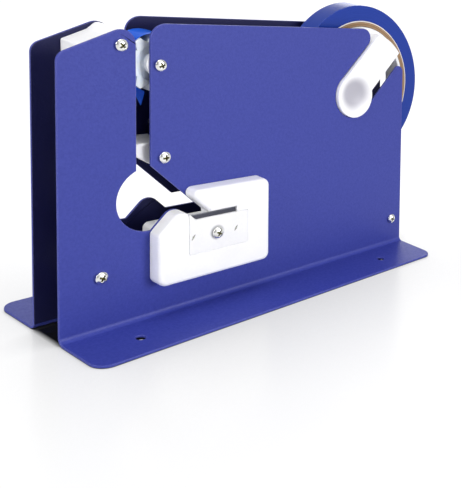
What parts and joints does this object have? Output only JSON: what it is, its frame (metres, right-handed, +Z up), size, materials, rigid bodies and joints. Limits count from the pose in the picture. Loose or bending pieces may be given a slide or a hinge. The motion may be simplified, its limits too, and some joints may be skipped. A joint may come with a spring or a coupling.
{
  "type": "bag neck sealer",
  "caption": "Desktop bag neck taping device: folded side plates with a bag slot, an eye, a tape reel in inclined notches, a tape wheel, a cutter lever and a neck trimmer.",
  "frame": {"origin": "on the table, at the centre of the rectangle of the four flange holes", "axes": "+X along the plates from the bag slot towards the tape reel, +Y from the user's side to the back, +Z up"},
  "size_m": [0.238, 0.0794, 0.165],
  "materials": {
    "blue_powder_coat": "fine textured satin powder coat on folded steel sheet",
    "white_plastic": "satin moulded plastic",
    "clear_plastic": "milky translucent moulded plastic",
    "zinc_steel": "bright zinc plated",
    "blade_steel": "ground steel",
    "spring_steel": "drawn spring wire",
    "cardboard": "raw wound cardboard",
    "blue_tape": "smooth glossy tape film",
    "brass": "turned"
  },
  "bodies": {
    "frame": {"front_plate": "blue_powder_coat", "rear_plate": "blue_powder_coat", "frame_screws": "zinc_steel", "frame_washers": "zinc_steel", "frame_nuts": "zinc_steel", "spacer_sleeves": "zinc_steel", "slot_guide_block": "white_plastic", "wheel_collars": "white_plastic", "tape_strip": "blue_tape", "trimmer_block": "white_plastic", "trimmer_blade": "blade_steel", "blade_clamp": "white_plastic", "clamp_screw": "zinc_steel", "clamp_pins": "zinc_steel", "clamp_insert": "brass", "trimmer_backing": "white_plastic", "trimmer_screws": "zinc_steel"},
    "wheel": {"star_wheel": "clear_plastic"},
    "lever": {"cutter_lever": "white_plastic", "tape_knife": "blade_steel", "lever_spring": "spring_steel"},
    "arbor": {"reel_arbor": "white_plastic"},
    "roll": {"tape_core": "cardboard", "tape_roll": "blue_tape"}
  },
  "joints": [
    {"name": "reel_lift", "type": "slide", "parent": "frame", "child": "arbor", "axis": [0.7071, 0, 0.7071], "range_m": [0, 0.06]},
    {"name": "reel_spin", "type": "hinge", "parent": "arbor", "child": "roll", "pos_m": [0.0796, 0, 0.1131], "axis": [0, 1, 0], "continuous": true},
    {"name": "wheel_spin", "type": "hinge", "parent": "frame", "child": "wheel", "pos_m": [-0.059, 0, 0.1297], "axis": [0, 1, 0], "continuous": true},
    {"name": "lever_swing", "type": "hinge", "parent": "frame", "child": "lever", "pos_m": [-0.057, 0, 0.0825], "axis": [0, -1, 0], "range_deg": [0, 45], "stiffness_Nm_per_rad": 0.01, "springref_deg": -28.65}
  ],
  "couplings": [
    {"joint": "wheel_spin", "follows": "reel_spin", "ratio": -3.4832}
  ]
}
